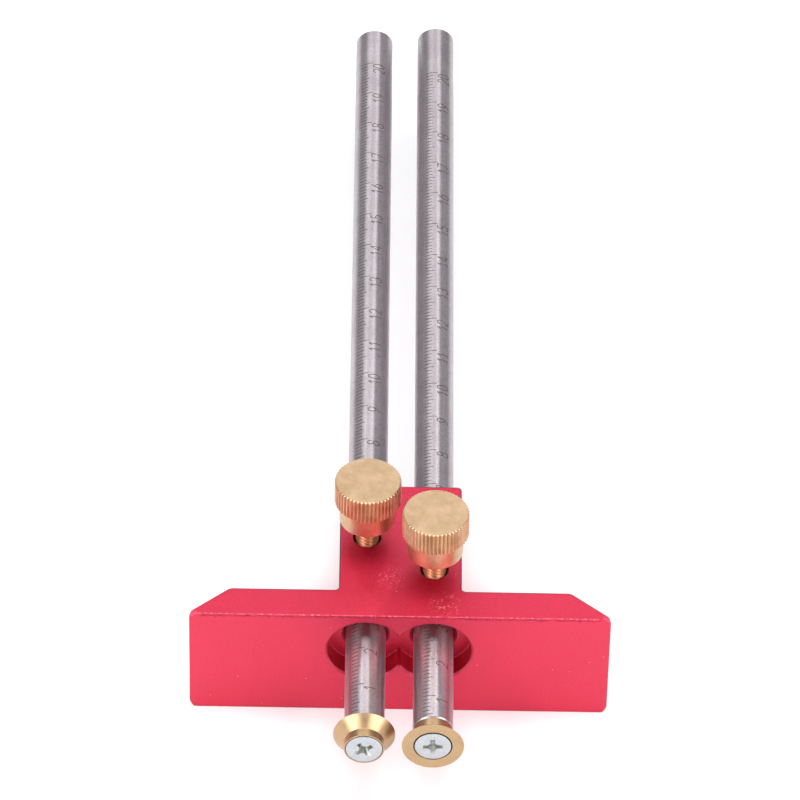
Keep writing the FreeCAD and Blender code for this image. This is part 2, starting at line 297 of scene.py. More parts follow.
def anodised_material():
    """Bead-blasted aluminium with a red anodised layer, small bright nicks, and painted shade and
    painted highlights along its edges.
    """
    nodes = Nodes("red_anodised")
    nodes.set(metallic=1.0, coat_weight=1.0, coat_roughness=0.42, coat_ior=1.45)
    place = nodes.place()
    blast = nodes.noise(place, 2600, detail=4.0, roughness=0.75)
    cloud = nodes.noise(place, 60, detail=4.0)
    colour = nodes.mix(nodes.ramp(cloud, (0.3, 0.0), (0.7, 1.0)),
                       (0.65, 0.008, 0.058), (0.70, 0.011, 0.067))
    grain = nodes.ramp(blast, (0.38, (0.85, 0.74, 0.80)), (0.5, (0.95, 0.95, 0.95)),
                       (0.62, (1.0, 1.0, 1.0)))
    colour = nodes.mix(1.0, colour, grain, blend="MULTIPLY")
    speck = nodes.add("ShaderNodeTexVoronoi", feature="F1")
    speck.inputs["Scale"].default_value = 400
    nodes.link(place, speck.inputs["Vector"])
    spot = nodes.ramp(speck.outputs["Distance"], (0.03, 1.0), (0.06, 0.0))
    chosen = nodes.ramp(speck.outputs["Color"], (0.48, 0.0), (0.80, 1.0))
    marks = nodes.mix(1.0, spot, chosen, blend="MULTIPLY")
    for middle, reach, scale in SCRATCH_PATCHES:
        distance = nodes.add("ShaderNodeVectorMath", operation="DISTANCE")
        distance.inputs[1].default_value = Vector(middle) * MM
        nodes.link(place, distance.inputs[0])
        near = nodes.ramp(distance.outputs["Value"], (0.4 * reach * MM, 1.0), (reach * MM, 0.0))
        line = nodes.ramp(nodes.noise(place, scale, detail=1.5), (0.462, 0.0), (0.485, 1.0),
                          (0.505, 1.0), (0.528, 0.0))
        broken = nodes.ramp(nodes.noise(place, 2.1 * scale), (0.46, 0.0), (0.54, 1.0))
        scratch = nodes.mix(1.0, nodes.mix(1.0, near, line, blend="MULTIPLY"), broken,
                            blend="MULTIPLY")
        marks = nodes.mix(1.0, marks, scratch, blend="LIGHTEN")
    colour = nodes.mix(marks, colour, (1.0, 0.30, 0.40))
    # The per-corner attribute paints shade (dark red) into the dents and along the outer edges, and
    # paints highlights (pale red) onto edges that catch the light.
    painted_light_and_shade = nodes.add("ShaderNodeAttribute", attribute_name="painted_light_and_shade")
    painted_highlight = nodes.ramp(painted_light_and_shade.outputs["Fac"], (0.55, 0.0), (0.95, 1.0))
    painted_shade = nodes.ramp(painted_light_and_shade.outputs["Fac"], (0.05, 1.0), (0.45, 0.0))
    colour = nodes.mix(painted_shade, colour, (0.16, 0.002, 0.02))
    colour = nodes.mix(painted_highlight, colour, (1.0, 0.17, 0.26))
    roughness = nodes.ramp(cloud, (0.2, 0.50), (0.8, 0.58))
    return nodes.finish(colour, roughness, nodes.bump(blast, 0.04, 0.7))


def rod_material():
    """Ground stainless steel, with fine marks round the rod and a few small pits."""
    nodes = Nodes("ground_steel")
    nodes.set(metallic=1.0, anisotropic=0.86, anisotropic_rotation=0.25)
    tangent = nodes.add("ShaderNodeTangent", direction_type="RADIAL", axis="Y")
    nodes.link(tangent.outputs["Tangent"], nodes.shader.inputs["Tangent"])
    rings = nodes.noise(nodes.place((60, 1, 60)), 60, detail=4.0, roughness=0.65)
    around = nodes.noise(nodes.place((0.2, 9, 0.2)), 900, detail=3.0, roughness=0.7)
    cloud = nodes.noise(nodes.place(), 160, detail=5.0, roughness=0.6)
    colour = nodes.mix(nodes.ramp(cloud, (0.35, 0.0), (0.75, 1.0)),
                       (0.48, 0.437, 0.462), (0.585, 0.537, 0.566))
    grit = nodes.ramp(nodes.noise(nodes.place(), 2000, detail=4.0, roughness=0.7),
                      (0.38, (0.80, 0.79, 0.80)), (0.60, (1.0, 1.0, 1.0)))
    colour = nodes.mix(1.0, colour, grit, blend="MULTIPLY")
    pits = nodes.add("ShaderNodeTexVoronoi", feature="F1")
    pits.inputs["Scale"].default_value = 230
    nodes.link(nodes.place(), pits.inputs["Vector"])
    pit = nodes.ramp(pits.outputs["Distance"], (0.03, 1.0), (0.055, 0.0))
    rare = nodes.ramp(pits.outputs["Color"], (0.90, 0.0), (0.93, 1.0))
    colour = nodes.mix(nodes.mix(1.0, pit, rare, blend="MULTIPLY"), colour, (0.10, 0.08, 0.08))
    roughness = nodes.mix(0.5, nodes.ramp(around, (0.3, 0.30), (0.7, 0.42)),
                          nodes.ramp(rings, (0.3, 0.30), (0.7, 0.42)))
    return nodes.finish(colour, roughness, nodes.bump(around, 0.004, 0.25))


def engraving_material():
    """The dark floor of an engraved line."""
    nodes = Nodes("engraved_line")
    nodes.set(metallic=0.6)
    grain = nodes.noise(nodes.place(), 3000, detail=3.0)
    colour = nodes.ramp(grain, (0.3, (0.09, 0.065, 0.058)), (0.7, (0.16, 0.125, 0.115)))
    roughness = nodes.ramp(grain, (0.3, 0.5), (0.7, 0.7))
    return nodes.finish(colour, roughness)


def turned_material(name, dark, light, base_roughness, ring_scale, ring_depth, mottle=0.6,
                    stains=0.0):
    """Turned metal: fine rings about the piece's own Z axis under soft mottling and stains."""
    nodes = Nodes(name)
    nodes.set(metallic=1.0)
    coordinates = nodes.add("ShaderNodeTexCoord")
    split = nodes.add("ShaderNodeSeparateXYZ")
    nodes.link(coordinates.outputs["Object"], split.inputs["Vector"])
    flat = nodes.add("ShaderNodeCombineXYZ")
    nodes.link(split.outputs["X"], flat.inputs["X"])
    nodes.link(split.outputs["Y"], flat.inputs["Y"])
    distance = nodes.add("ShaderNodeVectorMath", operation="LENGTH")
    nodes.link(flat.outputs["Vector"], distance.inputs[0])
    spread = nodes.add("ShaderNodeCombineXYZ")
    nodes.link(distance.outputs["Value"], spread.inputs["X"])
    nodes.link(split.outputs["Z"], spread.inputs["Z"])
    rings = nodes.noise(spread.outputs["Vector"], ring_scale, detail=4.0, roughness=0.7)
    cloud = nodes.noise(nodes.place(), 420, detail=5.0, roughness=0.62)
    blend = nodes.mix(mottle, nodes.ramp(rings, (0.3, 0.0), (0.7, 1.0)),
                      nodes.ramp(cloud, (0.35, 0.0), (0.68, 1.0)))
    colour = nodes.mix(blend, dark, light)
    patches = nodes.noise(nodes.place(), 240, detail=6.0, roughness=0.7)
    stain = nodes.ramp(patches, (0.48, 0.0), (0.64, stains))
    brown = tuple(level * share for level, share in zip(dark, (0.78, 0.66, 0.42)))
    colour = nodes.mix(stain, colour, brown)
    roughness = nodes.ramp(cloud, (0.3, base_roughness * 0.85), (0.7, base_roughness * 1.2))
    return nodes.finish(colour, roughness, nodes.bump(rings, ring_depth, 0.5))


def floor_material():
    """A pale, matt tabletop."""
    nodes = Nodes("pale_floor")
    nodes.set(roughness=0.9, specular_ior_level=0.1)
    grain = nodes.noise(nodes.place(), 40, detail=2.0)
    colour = nodes.ramp(grain, (0.3, (0.89, 0.89, 0.89)), (0.7, (0.90, 0.90, 0.90)))
    return nodes.finish(colour)


ANODISED = anodised_material()
STEEL = rod_material()
ENGRAVED = engraving_material()
BRASS = turned_material("turned_brass", (0.54, 0.37, 0.215), (0.74, 0.52, 0.335), 0.38, 9000, 0.004,
                        mottle=0.7, stains=0.32)
# The thread's brass is darker and redder: painted shade under the knob and a painted reflection of the
# red head.
THREAD_BRASS_PAINTED_SHADE = turned_material("threaded_brass_painted_shade", (0.40, 0.16, 0.08), (0.60, 0.26, 0.14), 0.42, 6000,
                               0.004)
GOLD = turned_material("gold_coated_steel", (0.43, 0.285, 0.155), (0.54, 0.38, 0.225), 0.36, 7000,
                       0.003, mottle=0.35, stains=0.25)
# A dark copy of the gold: painted shade in the gap round the screw head.
SEAT_PAINTED_SHADE = turned_material("shaded_seat", (0.10, 0.07, 0.04), (0.16, 0.11, 0.06), 0.5, 5000, 0.003)
ZINC = turned_material("bright_zinc", (0.43, 0.45, 0.475), (0.53, 0.55, 0.58), 0.26, 5000, 0.003,
                       mottle=0.8)
RECESS_ZINC = turned_material("zinc_in_recess", (0.40, 0.41, 0.38), (0.56, 0.57, 0.53), 0.50, 5000,
                              0.004, mottle=0.8)


# ---------------------------------------------------------------- the head

FENCE_BACK = 7.4
FENCE_END_CHAMFER = 7.9
TOP_CORNER_ROUND = 1.4
BOTTOM_CORNER_ROUND = 2.0
FENCE_REAR_ROUND = 2.0
BOSS_SIDE = 12.25
BOSS_INNER_FILLET = 0.9
BOSS_OUTER_ROUND = 0.9
FRONT_BREAK = 0.14
SIDE_BREAK = 0.38
BREAK_STEPS = 4
END_LAND = 0.35
RECESS_RADIUS = 7.65
RECESS_DEPTH = 4.8
RIM_CHAMFER = 0.4
NICKED_BAND = 1.1
FRONT_SPAN = HEAD_HIGH.x - BOTTOM_CORNER_ROUND - 0.2
ENDS_BACK = 3.0
FRONT_COLUMNS = 420
ROD_HOLE_RADIUS = ROD_RADIUS + 0.06
ROD_HOLE_MOUTH = 0.75
NECK_SIDE = 0.65
NECK_HEIGHT = 4.2
THUMB_HOLE_RADIUS = 2.58
THUMB_HOLE_BREAK = 0.3
OUTSIDE = 1.0

# How each part of the head's colour is shifted: 0 is dark, 0.5 leaves it as it is, and 1 is bright.
# The darks are painted shade in the front edge's dents and along the outer edges; the brights are
# painted highlights on the front edge, the front corners and the boss top edge, and the recess rims
# and inner corners are made lighter.
PAINTED_SHADE_EDGE = 0.05
PAINTED_SHADE_REAR_EDGE = 0.1
DEEPEST_DENT_SHADE = 0.22
SHALLOW_DENT_SHADE = 0.45
NEUTRAL_TONE = 0.5
BOSS_TOP_EDGE_HIGHLIGHT = 0.60
RECESS_RIM = 0.64
FRONT_EDGE_HIGHLIGHT = 0.66
FRONT_CORNER_HIGHLIGHT = 0.70
RECESS_CORNER = 0.80


def make_nicks():
    """Dents along the fence's front top edge, each (middle, half length, drop, half height, depth)."""
    chance = random.Random(11)
    nicks = []
    across = HEAD_LOW.x + 2.2
    while across < HEAD_HIGH.x - 2.2:
        half_length = chance.uniform(0.14, 0.62)
        across += half_length * chance.uniform(0.5, 1.1)
        nicks.append((across, half_length, chance.uniform(0.34, 0.62), chance.uniform(0.16, 0.34),
                      chance.uniform(0.06, 0.18)))
        across += 0.7 * half_length
    return nicks


NICKS = make_nicks()


def nick_depth(x, z):
    """How far the front face is pushed in at a point near its top edge."""
    drop = HEAD_HIGH.z - z
    if drop > NICKED_BAND:
        return 0.0
    depth = 0.0
    for middle, half_length, level, half_height, deepest in NICKS:
        along = (x - middle) / half_length
        if abs(along) >= 1:
            continue
        wobble = 0.5 * noise.noise(Vector((x * 3.1, middle, 0.0)))
        down = (drop - level) / half_height + wobble
        if abs(down) >= 1:
            continue
        depth = max(depth, deepest * (1 - along * along) ** 0.7 * (1 - down * down) ** 0.8)
    return depth


def edge_waviness(x):
    """How much the worn front top edge wanders, as a share of its width."""
    return noise.noise(Vector((x * 1.7, 3.0, 0.0))) + 0.6 * noise.noise(Vector((x * 6.0, 7.0, 0.0)))


def head_outline(height):
    """The T-shaped plan at a height, anticlockwise from the left end of the front face."""
    from_top, from_bottom = HEAD_HIGH.z - height, height - HEAD_LOW.z
    end_x = HEAD_HIGH.x - 0.01
    for radius, distance in ((TOP_CORNER_ROUND, from_top), (BOTTOM_CORNER_ROUND, from_bottom)):
        fall = max(radius - distance, 0.0)
        end_x -= radius - math.sqrt(radius ** 2 - fall ** 2)
    end_back = END_LAND + (HEAD_HIGH.x - end_x) * FENCE_BACK / FENCE_END_CHAMFER
    front = [(-FRONT_SPAN + 2 * FRONT_SPAN * index / FRONT_COLUMNS, 0.0)
             for index in range(FRONT_COLUMNS + 1)]
    right = rounded([
        (FRONT_SPAN, 0.0, 0),
        (end_x, 0.0, 0.16),
        (end_x, end_back, 0.15),
        (HEAD_HIGH.x - FENCE_END_CHAMFER, FENCE_BACK, FENCE_REAR_ROUND),
        (BOSS_SIDE, FENCE_BACK, BOSS_INNER_FILLET),
        (BOSS_SIDE, HEAD_HIGH.y, BOSS_OUTER_ROUND),
        (0.0, HEAD_HIGH.y, 0),
    ], steps=8)[1:-1]
    left = [(-x, y) for x, y in reversed(right)]
    return front + right + left


def inset(outline, distances):
    """An outline moved inwards, corner by corner."""
    moved = []
    for index, point in enumerate(outline):
        here = Vector(point)
        before = here - Vector(outline[index - 1])
        after = Vector(outline[(index + 1) % len(outline)]) - here
        first = Vector((-before.y, before.x)).normalized()
        second = Vector((-after.y, after.x)).normalized()
        mitre = first + second
        reach = distances[index] / max(0.5 * mitre.length_squared, 0.5)
        moved.append(tuple(here + mitre * reach))
    return moved


def head_levels():
    """Each level's turn, which is 0 on a flat face and 90 on the walls, and its distance from
    the nearer face, which is measured as if the front edge's break went all the way round."""
    turns = [90 * step / BREAK_STEPS for step in range(BREAK_STEPS)]
    levels = [("bottom", turn, 0.0) for turn in turns]
    drops = [BOTTOM_CORNER_ROUND * (1 - math.cos(math.radians(15 * step))) for step in range(3, 7)]
    levels += [("bottom", 90, FRONT_BREAK)] + [("bottom", 90, drop) for drop in drops]
    rows = 14
    band = [FRONT_BREAK + (NICKED_BAND - FRONT_BREAK) * row / rows for row in range(rows + 1)]
    levels += [("top", 90, drop) for drop in reversed(band + [1.4])]
    levels += [("top", turn, 0.0) for turn in reversed(turns)]
    return levels


def level_height(end, turn, drop, size):
    """The height of a level where the edge break has a size."""
    if turn < 90:
        drop = size * (1 - math.cos(math.radians(turn)))
    elif drop < NICKED_BAND:
        share = (drop - FRONT_BREAK) / (NICKED_BAND - FRONT_BREAK)
        drop = size + share * (NICKED_BAND - size)
    return HEAD_HIGH.z - drop if end == "top" else HEAD_LOW.z + drop


def head_block():
    """The head before its holes: the plan stacked at many heights, with every edge broken."""
    points, faces, rows = [], [], []
    for end, turn, drop in head_levels():
        outline = head_outline(level_height(end, turn, drop, SIDE_BREAK))
        sizes = [FRONT_BREAK if y < ENDS_BACK else SIDE_BREAK for _, y in outline]
        share = 1 - math.sin(math.radians(turn))
        moved = inset(outline, [size * share for size in sizes])
        row = []
        for index, ((x, y), size) in enumerate(zip(moved, sizes)):
            z = level_height(end, turn, drop, size)
            if index <= FRONT_COLUMNS:
                y += nick_depth(x, z)
                if turn < 90 and end == "top":
                    y = max(y + 0.10 * share * edge_waviness(x), 0.0)
            row.append(len(points))
            points.append((x, y, z))
        rows.append(row)
    for lower, upper in zip(rows, rows[1:]):
        for index in range(len(lower)):
            following = (index + 1) % len(lower)
            faces.append((lower[index], lower[following], upper[following], upper[index]))
    faces.append(tuple(reversed(rows[0])))
    faces.append(tuple(rows[-1]))
    return mesh_from("head_block", points, faces, merge=0.0005)


def along_y(points, x):
    """Turn points made about Z so that their axis runs along +Y, and move them across."""
    return [(x + px, pz, -py) for px, py, pz in points]


def recess_cutter(side):
    """A round recess in the fence's face, and the rod hole behind it."""
    wall, rim, hole = RECESS_RADIUS, RIM_CHAMFER, ROD_HOLE_RADIUS
    profile = rounded([
        (0, -OUTSIDE, 0), (wall + rim + OUTSIDE, -OUTSIDE, 0), (wall, rim, 0.12),
        (wall, RECESS_DEPTH, 0.14), (hole + ROD_HOLE_MOUTH, RECESS_DEPTH, 0.08),
        (hole, RECESS_DEPTH + ROD_HOLE_MOUTH, 0.08), (hole, HEAD_HIGH.y - 0.3, 0.05),
        (hole + 0.3 + OUTSIDE, HEAD_HIGH.y + OUTSIDE, 0), (0, HEAD_HIGH.y + OUTSIDE, 0),
    ])
    points, faces = lathe(profile, 144)
    return mesh_from("recess_cutter", along_y(points, ROD_X[side]), faces)


def neck_cutter():
    """The straight-sided neck that joins the two round recesses."""
    flare = RIM_CHAMFER + OUTSIDE
    levels = ((-OUTSIDE, flare), (RIM_CHAMFER, 0.0), (RECESS_DEPTH - 0.01, 0.0))
    points = []
    for y, wider in levels:
        x, z = NECK_SIDE + wider, NECK_HEIGHT + wider
        points += [(-x, y, -z), (x, y, -z), (x, y, z), (-x, y, z)]
    faces = [(0, 1, 2, 3), (11, 10, 9, 8)]
    for start in (0, 4):
        for index in range(4):
            following = (index + 1) % 4
            faces.append((start + index, start + following, start + 4 + following,
                          start + 4 + index))
    return mesh_from("neck_cutter", points, faces)


def thumbscrew_hole_cutter(side):
    """An upright hole from the head's top down to its rod, with a broken edge."""
    low, high = THUMB_BOXES[side]
    hole, top = THUMB_HOLE_RADIUS, HEAD_HIGH.z
    profile = [(0, 1.0), (hole, 1.0), (hole, top - THUMB_HOLE_BREAK),
               (hole + THUMB_HOLE_BREAK + OUTSIDE, top + OUTSIDE), (0, top + OUTSIDE)]
    points, faces = lathe(profile, 64)
    back = (low.y + high.y) / 2
    points = [(x + ROD_X[side], y + back, z) for x, y, z in points]
    return mesh_from("thumbscrew_hole_cutter", points, faces)


def head_cutters():
    """The recess, the rod holes and the thumbscrew holes."""
    sides = ("left", "right")
    cutters = [recess_cutter(side) for side in sides]
    cutters.append(neck_cutter())
    return cutters + [thumbscrew_hole_cutter(side) for side in sides]


def painted_light_at(point, normal):
    """The painted light and shade of a face at a corner, on the scale above."""
    x, y, z = point
    if max(abs(part) for part in normal) > 0.9999:
        return NEUTRAL_TONE
    # The recess rims and inner corners are made lighter.
    if abs(abs(x) - RODS_APART / 2) < RECESS_RADIUS + 1 and abs(z) < RECESS_RADIUS + 0.45:
        if y < RIM_CHAMFER + 0.1 and -0.95 < normal.y < -0.3:
            return RECESS_RIM
        if abs(y - RECESS_DEPTH) < 0.15 and -0.95 < normal.y < -0.1:
            return RECESS_CORNER
    if y < 0.45 and z > 0 and abs(x) <= FRONT_SPAN:
        # Dents in the front edge get painted shade, darker the deeper they are.
        depth = nick_depth(x, z)
        if depth > 0.02:
            return max(DEEPEST_DENT_SHADE, SHALLOW_DENT_SHADE - 2.2 * depth)
        # The rest of the front top edge gets a painted highlight.
        if z > HEAD_HIGH.z - 1.1 * FRONT_BREAK:
            return FRONT_EDGE_HIGHLIGHT + 0.55 * edge_waviness(x)
        return NEUTRAL_TONE
    # The rounded front corners at the top get a painted highlight.
    if abs(x) > FRONT_SPAN and z > HEAD_HIGH.z - 1.4 and y < 0.7 and abs(normal.x) < 0.8:
        return FRONT_CORNER_HIGHLIGHT
    # The top's rounded edges get painted shade on their outer part and towards the rear, and a painted
    # highlight along the boss; the bottom edges get painted shade.
    at_top = HEAD_HIGH.z - z < 1.05 * SIDE_BREAK
    if at_top and normal.z > 0.9:
        if normal.y > 0.05:
            return PAINTED_SHADE_REAR_EDGE
        return BOSS_TOP_EDGE_HIGHLIGHT if y > FENCE_BACK + 1 else NEUTRAL_TONE
    if at_top or z - HEAD_LOW.z < 1.05 * SIDE_BREAK:
        return PAINTED_SHADE_EDGE
    # The rounded ends of the fence get painted shade.
    at_end = abs(x) > HEAD_HIGH.x - BOTTOM_CORNER_ROUND and y < 2.5
    return PAINTED_SHADE_EDGE if at_end and abs(normal.x) > 0.3 and normal.y < 0.6 else NEUTRAL_TONE


def mark_painted_light(mesh):
    """Store the painted light and shade of every face corner, for the material."""
    painted_light_and_shade = mesh.attributes.new("painted_light_and_shade", "FLOAT", "CORNER")
    for face in mesh.polygons:
        for loop in face.loop_indices:
            point = mesh.vertices[mesh.loops[loop].vertex_index].co / MM
            painted_light_and_shade.data[loop].value = painted_light_at(point, face.normal)


def build_head():
    """The red head, with its holes cut and its painted light and shade stored."""
    mesh = cut_away(head_block(), head_cutters())
    mesh.name = "anodised_head"
    mark_painted_light(mesh)
    shade(mesh, 30)
    add_piece("anodised_head", mesh, [ANODISED], "head", "head")


# ---------------------------------------------------------------- the graduated rods

ENGRAVED_DEPTH = 0.05
LINE_WIDTH = 0.17
STROKE_WIDTH = 0.19
DIGIT_WIDTH = 1.25
DIGIT_HEIGHT = 2.55
DIGIT_PITCH = 1.65
LONGEST_MARK = 200
TICK_START = -42.0
TICK_ENDS = {1: -20.0, 5: -13.0, 10: -4.0}
DIGITS_START = -3.5
ROD_FACETS = 96
ROD_CHAMFER = 0.3
ROD_TURN = {"left": 0.0, "right": 11.0}
ROD_BORE = 2.05
ROD_BORE_DEPTH = 8.0
SURFACE_KINDS = ("round", "floor", "wall", "end")


def ring(centre, radii):
    """A closed loop, as two strokes that meet."""
    return [arc(centre, radii, 90, 270, 9), arc(centre, radii, -90, 90, 9)]


# Each digit's strokes, in a cell one wide and one high, with the foot at 0.
DIGIT_STROKES = {
    "0": ring((0.5, 0.5), (0.5, 0.5)),
    "1": [[(0.55, 0.0), (0.55, 1.0)], [(0.55, 1.0), (0.12, 0.70)]],
    "2": [arc((0.5, 0.72), (0.45, 0.28), 170, -35, 10) + [(0.0, 0.0)], [(0.0, 0.0), (1.0, 0.0)]],
    "3": [arc((0.45, 0.75), (0.42, 0.25), 160, -80, 9), arc((0.45, 0.26), (0.5, 0.26), 85, -160, 10)],
    "4": [[(0.78, 0.0), (0.78, 1.0)], [(0.78, 1.0), (0.0, 0.3)], [(0.0, 0.3), (1.0, 0.3)]],
    "5": [[(0.92, 1.0), (0.18, 1.0)], [(0.18, 1.0), (0.1, 0.52)],
          arc((0.45, 0.31), (0.5, 0.31), 135, -150, 11)],
    "6": [[(0.85, 1.0), (0.35, 0.75), (0.04, 0.38)], *ring((0.5, 0.33), (0.47, 0.33))],
    "7": [[(0.02, 1.0), (0.98, 1.0)], [(0.98, 1.0), (0.35, 0.0)]],
    "8": ring((0.5, 0.75), (0.4, 0.25)) + ring((0.5, 0.26), (0.49, 0.26)),
    "9": [[(0.15, 0.0), (0.65, 0.25), (0.96, 0.62)], *ring((0.5, 0.67), (0.47, 0.33))],
}


def stroke_outline(line, width):
    """A closed outline round a line, square at its ends."""
    left, right = [], []
    for index, point in enumerate(line):
        here = Vector(point)
        before = here - Vector(line[index - 1]) if index else None
        after = Vector(line[index + 1]) - here if index < len(line) - 1 else None
        directions = [part.normalized() for part in (before, after) if part is not None]
        direction = sum(directions, Vector((0, 0)))
        direction.normalize()
        normal = Vector((-direction.y, direction.x))
        stretch = min(1 / max(normal.dot(Vector((-directions[0].y, directions[0].x))), 0.5), 1.6)
        left.append(tuple(here + normal * (width / 2 * stretch)))
        right.append(tuple(here - normal * (width / 2 * stretch)))
    return right + left[::-1]


def engraved_outlines(side):
    """The outlines of every graduation and numeral, as (around, along) in millimetres."""
    low, high = ROD_BOXES[side]
    turned = ROD_TURN[side]
    zero = {"left": WHEEL_BOXES["left"][1].y, "right": WHEEL_BOXES["right"][0].y}[side]
    per_degree = math.radians(1) * ROD_RADIUS
    chance = random.Random({"left": 5, "right": 6}[side])
    outlines = []
    first = math.ceil(low.y - zero + ROD_CHAMFER + LINE_WIDTH)
    for mark in range(max(first, 1), LONGEST_MARK + 1):
        kind = 10 if mark % 10 == 0 else 5 if mark % 5 == 0 else 1
        start = (TICK_START + turned + chance.uniform(-0.8, 0.8)) * per_degree
        end = (TICK_ENDS[kind] + turned + chance.uniform(-0.6, 0.6)) * per_degree
        along, half = zero + mark, LINE_WIDTH / 2
        outlines.append([(start, along - half), (end, along - half), (end, along + half),
                         (start, along + half)])
        if kind < 10:
            continue
        text = str(mark // 10)
        foot = (DIGITS_START + turned) * per_degree + DIGIT_HEIGHT
        for place, digit in enumerate(reversed(text)):
            cell = along - 0.35 - DIGIT_WIDTH - place * DIGIT_PITCH
            if cell < low.y + ROD_CHAMFER + STROKE_WIDTH:
                continue
            for stroke in DIGIT_STROKES[digit]:
                line = [(foot - y * DIGIT_HEIGHT, cell + x * DIGIT_WIDTH) for x, y in stroke]
                outlines.append(stroke_outline(line, STROKE_WIDTH))
    return outlines


def engraved_surface(side):
    """The rod's round surface unrolled and divided, and which of its faces are engraved."""
    low, high = ROD_BOXES[side]
    ends = (low.y + ROD_CHAMFER, high.y - ROD_CHAMFER)
    half_turn = math.pi * ROD_RADIUS
    points, edges, faces = [], [], []
    for column in range(ROD_FACETS + 1):
        around = -half_turn + 2 * half_turn * column / ROD_FACETS
        points += [(around, ends[0]), (around, ends[1])]
        edges.append((2 * column, 2 * column + 1))
        if column:
            edges += [(2 * column - 2, 2 * column), (2 * column - 1, 2 * column + 1)]
    last = 2 * ROD_FACETS
    faces.append([0, last, last + 1, 1])
    for outline in engraved_outlines(side):
        start = len(points)
        points += outline
        faces.append(list(range(start, len(points))))
    out = geometry.delaunay_2d_cdt([Vector(point) for point in points], edges, faces, 1, 1e-5)
    flat, _, cells, _, _, parents = out
    engraved = [any(parent > 0 for parent in owners) for owners in parents]
    return flat, cells, engraved


def rod_point(around, along, radius, x):
    """A point at a radius, from its place on the unrolled surface."""
    angle = around / ROD_RADIUS
    return (x + radius * math.sin(angle), along, radius * math.cos(angle))


def scale_faces(side, points):
    """The round surface, with every engraved area sunk below it and walled round."""
    x = ROD_X[side]
    flat, cells, engraved = engraved_surface(side)
    points += [rod_point(around, along, ROD_RADIUS, x) for around, along in flat]
    sunk = {}
    faces, kinds = [], []

    def lowered(index):
        if index not in sunk:
            sunk[index] = len(points)
            points.append(rod_point(*flat[index], ROD_RADIUS - ENGRAVED_DEPTH, x))
        return sunk[index]

    plain_edges = set()
    for cell, cut in zip(cells, engraved):
        if not cut:
            faces.append(tuple(cell))
            kinds.append("round")
            plain_edges.update(zip(cell, cell[1:] + cell[:1]))
    for cell, cut in zip(cells, engraved):
        if not cut:
            continue
        faces.append(tuple(lowered(index) for index in cell))
        kinds.append("floor")
        for first, second in zip(cell, cell[1:] + cell[:1]):
            if (second, first) in plain_edges:
                faces.append((first, second, lowered(second), lowered(first)))
                kinds.append("wall")
    return faces, kinds


def rod_end_faces(side, points):
    """The front end with its screw bore, and the plain rear end."""
    low, high = ROD_BOXES[side]
    bore_end = low.y + ROD_BORE_DEPTH
    front = [(ROD_RADIUS, low.y + ROD_CHAMFER), (ROD_RADIUS - ROD_CHAMFER, low.y),
             (ROD_BORE, low.y), (ROD_BORE, bore_end), (0.0, bore_end)]
    rear = [(ROD_RADIUS, high.y - ROD_CHAMFER), (ROD_RADIUS - ROD_CHAMFER, high.y), (0.0, high.y)]
    half_turn = math.pi * ROD_RADIUS
    faces = []
    for profile in (front, rear):
        rows = []
        for radius, along in profile:
            row = len(points)
            count = 1 if radius == 0 else ROD_FACETS
            for column in range(count):
                around = -half_turn + 2 * half_turn * column / ROD_FACETS
                points.append(rod_point(around, along, radius, ROD_X[side]))
            rows.append((row, count))
        for (first, _), (second, count) in zip(rows, rows[1:]):
            for column in range(ROD_FACETS):
                following = (column + 1) % ROD_FACETS
                inner = (second,) if count == 1 else (second + following, second + column)
                faces.append((first + column, first + following, *inner))
    return faces


def rod_mesh(side):
    """The rod as one closed mesh, and the kind of each of its faces."""
    points = []
    faces, kinds = scale_faces(side, points)
    ends = rod_end_faces(side, points)
    faces += ends
    kinds += ["end"] * len(ends)
    mesh = bpy.data.meshes.new(f"graduated_rod_{side}")
    mesh.from_pydata([Vector(point) * MM for point in points], [], faces)
    layer = mesh.attributes.new("kind", "INT", "FACE")
    layer.data.foreach_set("value", [SURFACE_KINDS.index(kind) for kind in kinds])
    work = bmesh.new()
    work.from_mesh(mesh)
    bmesh.ops.remove_doubles(work, verts=work.verts, dist=0.0004 * MM)
    bmesh.ops.dissolve_degenerate(work, edges=work.edges, dist=0.0002 * MM)
    bmesh.ops.recalc_face_normals(work, faces=work.faces)
    work.to_mesh(mesh)
    work.free()
    kinds = [SURFACE_KINDS[item.value] for item in mesh.attributes["kind"].data]
    mesh.attributes.remove(mesh.attributes["kind"])
    return mesh, kinds


def build_rod(side):
    """A ground rod with its scale cut into it, shaded as a true cylinder."""
    mesh, kinds = rod_mesh(side)
    axis_x = ROD_X[side] * MM
    mesh.shade_smooth()
    normals = []
    for face, kind in zip(mesh.polygons, kinds):
        face.material_index = 1 if kind in ("floor", "wall") else 0
        for vertex in face.vertices:
            place = mesh.vertices[vertex].co
            if kind in ("round", "floor"):
                normals.append(Vector((place.x - axis_x, 0, place.z)).normalized())
            else:
                normals.append(face.normal.copy())
    mesh.normals_split_custom_set(normals)
    add_piece(f"graduated_rod_{side}", mesh, [STEEL, ENGRAVED], f"rod_{side}", f"rod_{side}")


# ---------------------------------------------------------------- wheels and their screws

TO_Y = Matrix.Rotation(math.radians(-90), 3, "X")
TO_MINUS_Y = Matrix.Rotation(math.radians(90), 3, "X")
WHEEL_BORE = 2.15
WHEEL_HUB = 3.95
WHEEL_HUB_LENGTH = 1.8
FLAT_SEAT = 3.85
HUB_SEAT = 3.7
SCREW_SHANK = 1.98
SCREW_PITCH = 0.7
SCREW_ROOT = 1.62
SCREW_CROWN = 0.16
SCREW_RIM = 0.2
SCREW_TURN = {"left": 33, "right": 2}
CROSS_DEPTH = 1.45
CROSS_REACH = 2.3


